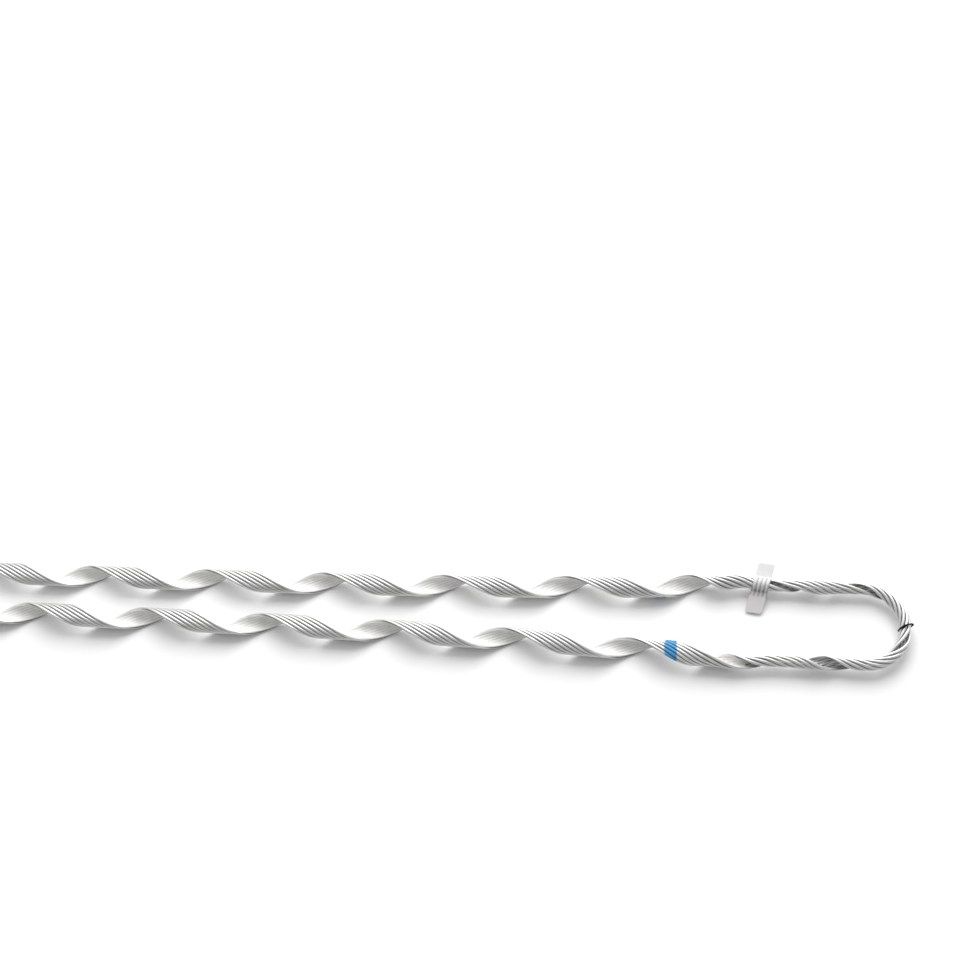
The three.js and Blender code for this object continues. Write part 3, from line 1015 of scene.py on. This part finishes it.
class GRIP_OT_stage(bpy.types.Operator):
    """Set the pale floor, the soft studio light and the camera"""

    bl_idname = "grip.stage"
    bl_label = "Stage"

    def execute(self, context):
        scene = context.scene
        stage = scene.grip_stage
        low = CAD_BOX[0]
        half = stage.floor_size / 2
        corners = [(x, y, low[2]) for x, y in ((-half, -half), (half, -half), (half, half), (-half, half))]
        material, tree, shader = new_material("floor")
        shader.inputs["Base Color"].default_value = (0.9, 0.9, 0.9, 1)
        shader.inputs["Roughness"].default_value = 0.9
        shader.inputs["Specular IOR Level"].default_value = 0.1
        mesh_object("floor", corners, [(0, 1, 2, 3)], material, smooth=False)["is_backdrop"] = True
        self.add_light("key", (-0.35, 1.55, 1.6), 2.2, 1.9, stage.key_power)
        self.add_world(stage.fill)
        self.add_camera(stage)
        scene.view_settings.view_transform = "Standard"
        return {"FINISHED"}

    @staticmethod
    def add_light(name, place, width, height, power):
        data = bpy.data.lights.new(name, "AREA")
        data.shape = "RECTANGLE"
        data.size, data.size_y = width, height
        data.energy = power
        lamp = bpy.data.objects.new(name, data)
        bpy.context.scene.collection.objects.link(lamp)
        lamp.location = place
        aim = Vector((-0.3, 0.0, 0.0)) - Vector(place)
        lamp.rotation_euler = aim.to_track_quat("-Z", "Y").to_euler()

    @staticmethod
    def add_world(strength):
        world = bpy.data.worlds.new("studio")
        bpy.context.scene.world = world
        world.use_nodes = True
        tree = world.node_tree
        background = tree.nodes["Background"]
        way = tree.nodes.new("ShaderNodeTexCoord").outputs["Generated"]
        parts = node(tree, "ShaderNodeSeparateXYZ", {"Vector": way}).outputs
        from_back = span(tree, parts["Y"], -0.8, 0.6)
        shade = blend_colour(tree, from_back, (0.25, 0.25, 0.253), (1.0, 1.0, 1.0))
        tree.links.new(shade, background.inputs["Color"])
        background.inputs["Strength"].default_value = strength

    @staticmethod
    def add_camera(stage):
        data = bpy.data.cameras.new("camera")
        camera = bpy.data.objects.new("camera", data)
        bpy.context.scene.collection.objects.link(camera)
        rise, azimuth, roll = stage.camera_elevation, stage.camera_azimuth, stage.camera_roll
        level = math.cos(rise)
        back = Vector((math.sin(azimuth) * level, -math.cos(azimuth) * level, math.sin(rise)))
        right = Vector((math.cos(azimuth), math.sin(azimuth), 0))
        upward = back.cross(right)
        across = right * math.cos(roll) + upward * math.sin(roll)
        above = upward * math.cos(roll) - right * math.sin(roll)
        turn = Matrix((across, above, back)).transposed()
        camera.location = Vector(stage.camera_target) + back * stage.camera_distance
        camera.rotation_mode = "QUATERNION"
        camera.rotation_quaternion = turn.to_quaternion()
        data.sensor_width = 36
        data.lens = stage.camera_lens
        data.clip_start, data.clip_end = 0.01, 50
        bpy.context.scene.camera = camera


PIECES = ("grip.wires", "grip.linings", "grip.label", "grip.tie", "grip.stage")


class GRIP_PT_panel(bpy.types.Panel):
    """Lists the grip's pieces and their sizes"""

    bl_idname = "GRIP_PT_panel"
    bl_label = "Dead end grip"
    bl_space_type = "VIEW_3D"
    bl_region_type = "UI"
    bl_category = "Grip"

    def draw(self, context):
        for operator in PIECES:
            self.layout.operator(operator)
        for name, group in SETTINGS.items():
            settings = getattr(context.scene, name)
            box = self.layout.box()
            box.label(text=group.__doc__)
            for key in group.__annotations__:
                box.prop(settings, key)


SETTINGS = {
    "grip_run": GripRunSettings,
    "grip_wire": GripWireSettings,
    "grip_lining": GripLiningSettings,
    "grip_label": GripLabelSettings,
    "grip_tie": GripTieSettings,
    "grip_finish": GripFinishSettings,
    "grip_stage": GripStageSettings,
}
OPERATORS = (GRIP_OT_wires, GRIP_OT_linings, GRIP_OT_label, GRIP_OT_tie, GRIP_OT_stage)


def register():
    for group in (*SETTINGS.values(), *OPERATORS, GRIP_PT_panel):
        bpy.utils.register_class(group)
    for name, group in SETTINGS.items():
        setattr(bpy.types.Scene, name, bpy.props.PointerProperty(type=group))


def unregister():
    for name in SETTINGS:
        delattr(bpy.types.Scene, name)
    for group in reversed((*SETTINGS.values(), *OPERATORS, GRIP_PT_panel)):
        bpy.utils.unregister_class(group)


def main():
    register()
    for operator in PIECES:
        group, name = operator.split(".")
        getattr(getattr(bpy.ops, group), name)()
    boxes = {"cad": CAD_BOX, "visual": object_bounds()}
    {name: [list(corner) for corner in box] for name, box in boxes.items()}


if __name__ == "__main__":
    main()
